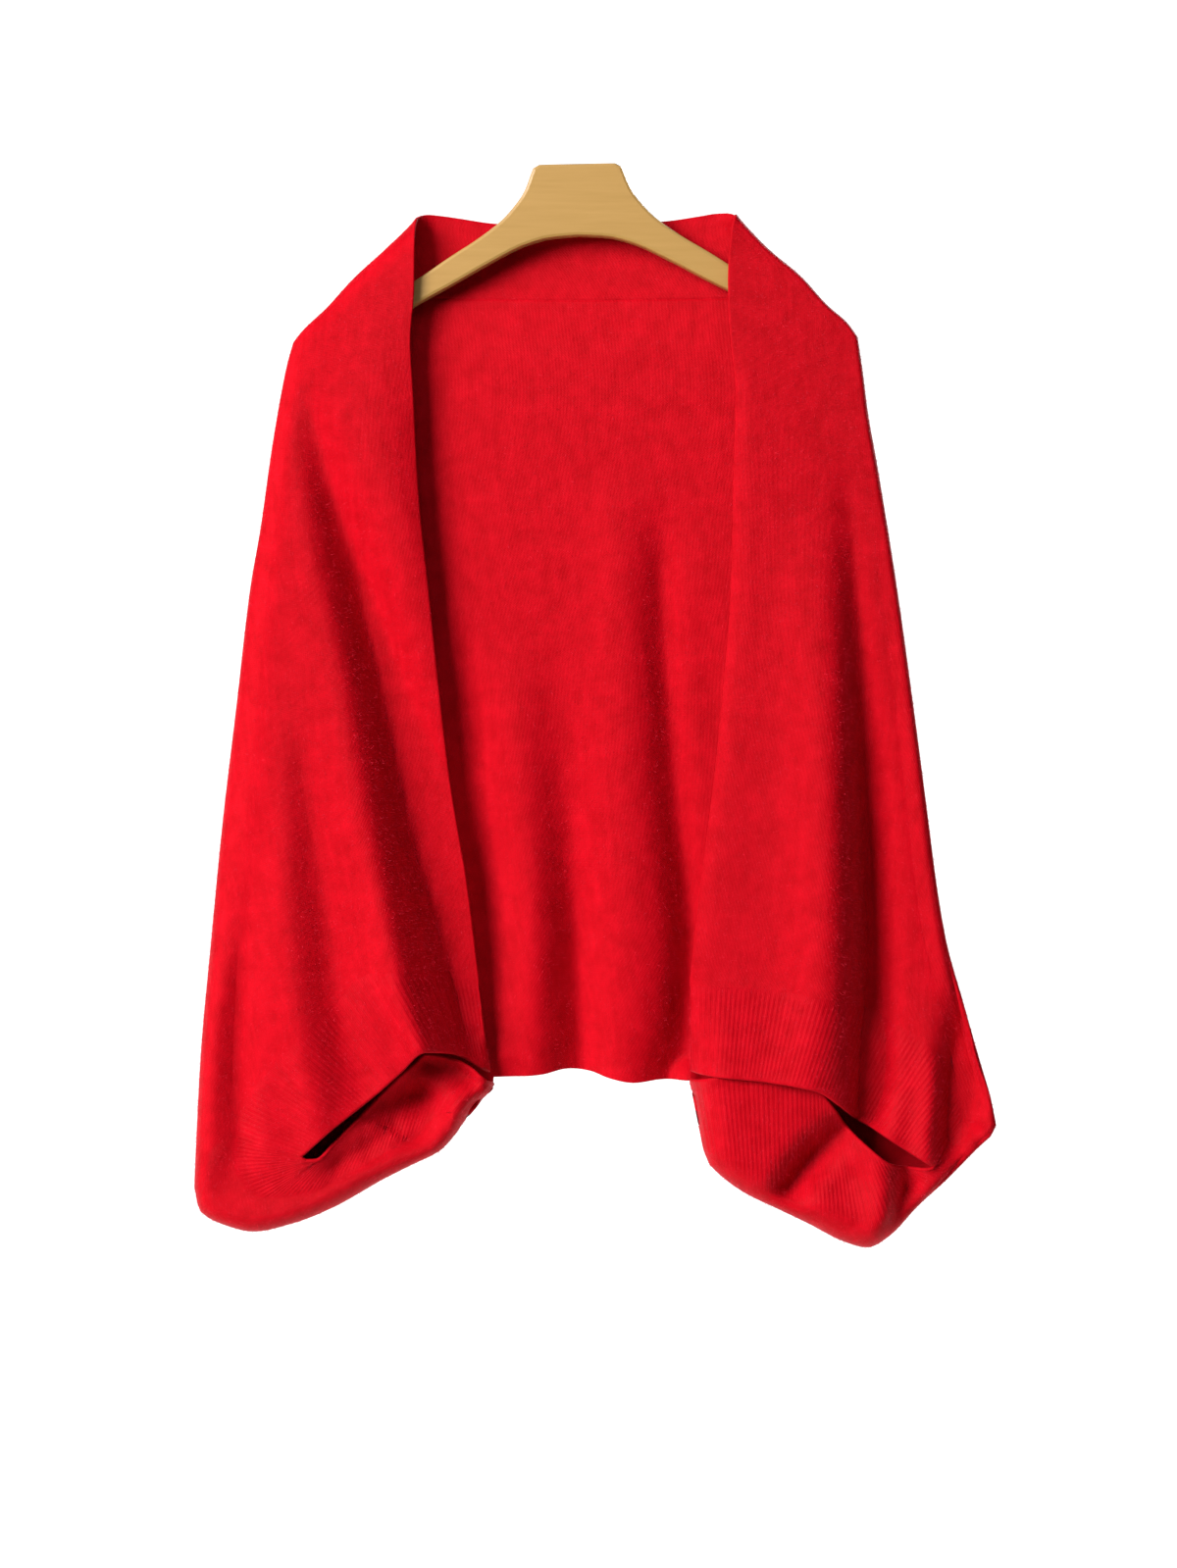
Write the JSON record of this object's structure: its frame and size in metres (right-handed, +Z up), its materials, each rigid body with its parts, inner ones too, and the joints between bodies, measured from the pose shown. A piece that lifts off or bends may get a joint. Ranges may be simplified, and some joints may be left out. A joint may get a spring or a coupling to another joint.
{
  "type": "cardigan on a hanger",
  "caption": "Open batwing shawl cardigan of fine brushed knit with a stand-up back collar and wide ribbed cuffs turned to the front, hung flat on a plain wooden hanger.",
  "frame": {"origin": "middle of the hanger's top edge, halfway through its thickness, where its hook would hold it", "axes": "+Z up, +X to the viewer's right as seen from the front, +Y from the front to the back"},
  "size_m": [0.636, 0.0846, 0.8587],
  "materials": {
    "knit": "fine stocking stitch with a soft brushed nap",
    "rib": "fine rib of the same brushed yarn",
    "wood": "light wood, smooth, satin varnish"
  },
  "bodies": {
    "root": {"hanger": "wood", "collar": "knit", "back_panel": "knit", "right_front": "knit", "right_sleeve_back": "knit", "right_sleeve_under": "knit", "right_cuff_upper": "rib", "right_cuff_lower": "rib", "left_front": "knit", "left_sleeve_back": "knit", "left_sleeve_under": "knit", "left_cuff_upper": "rib", "left_cuff_lower": "rib"}
  },
  "joints": []
}
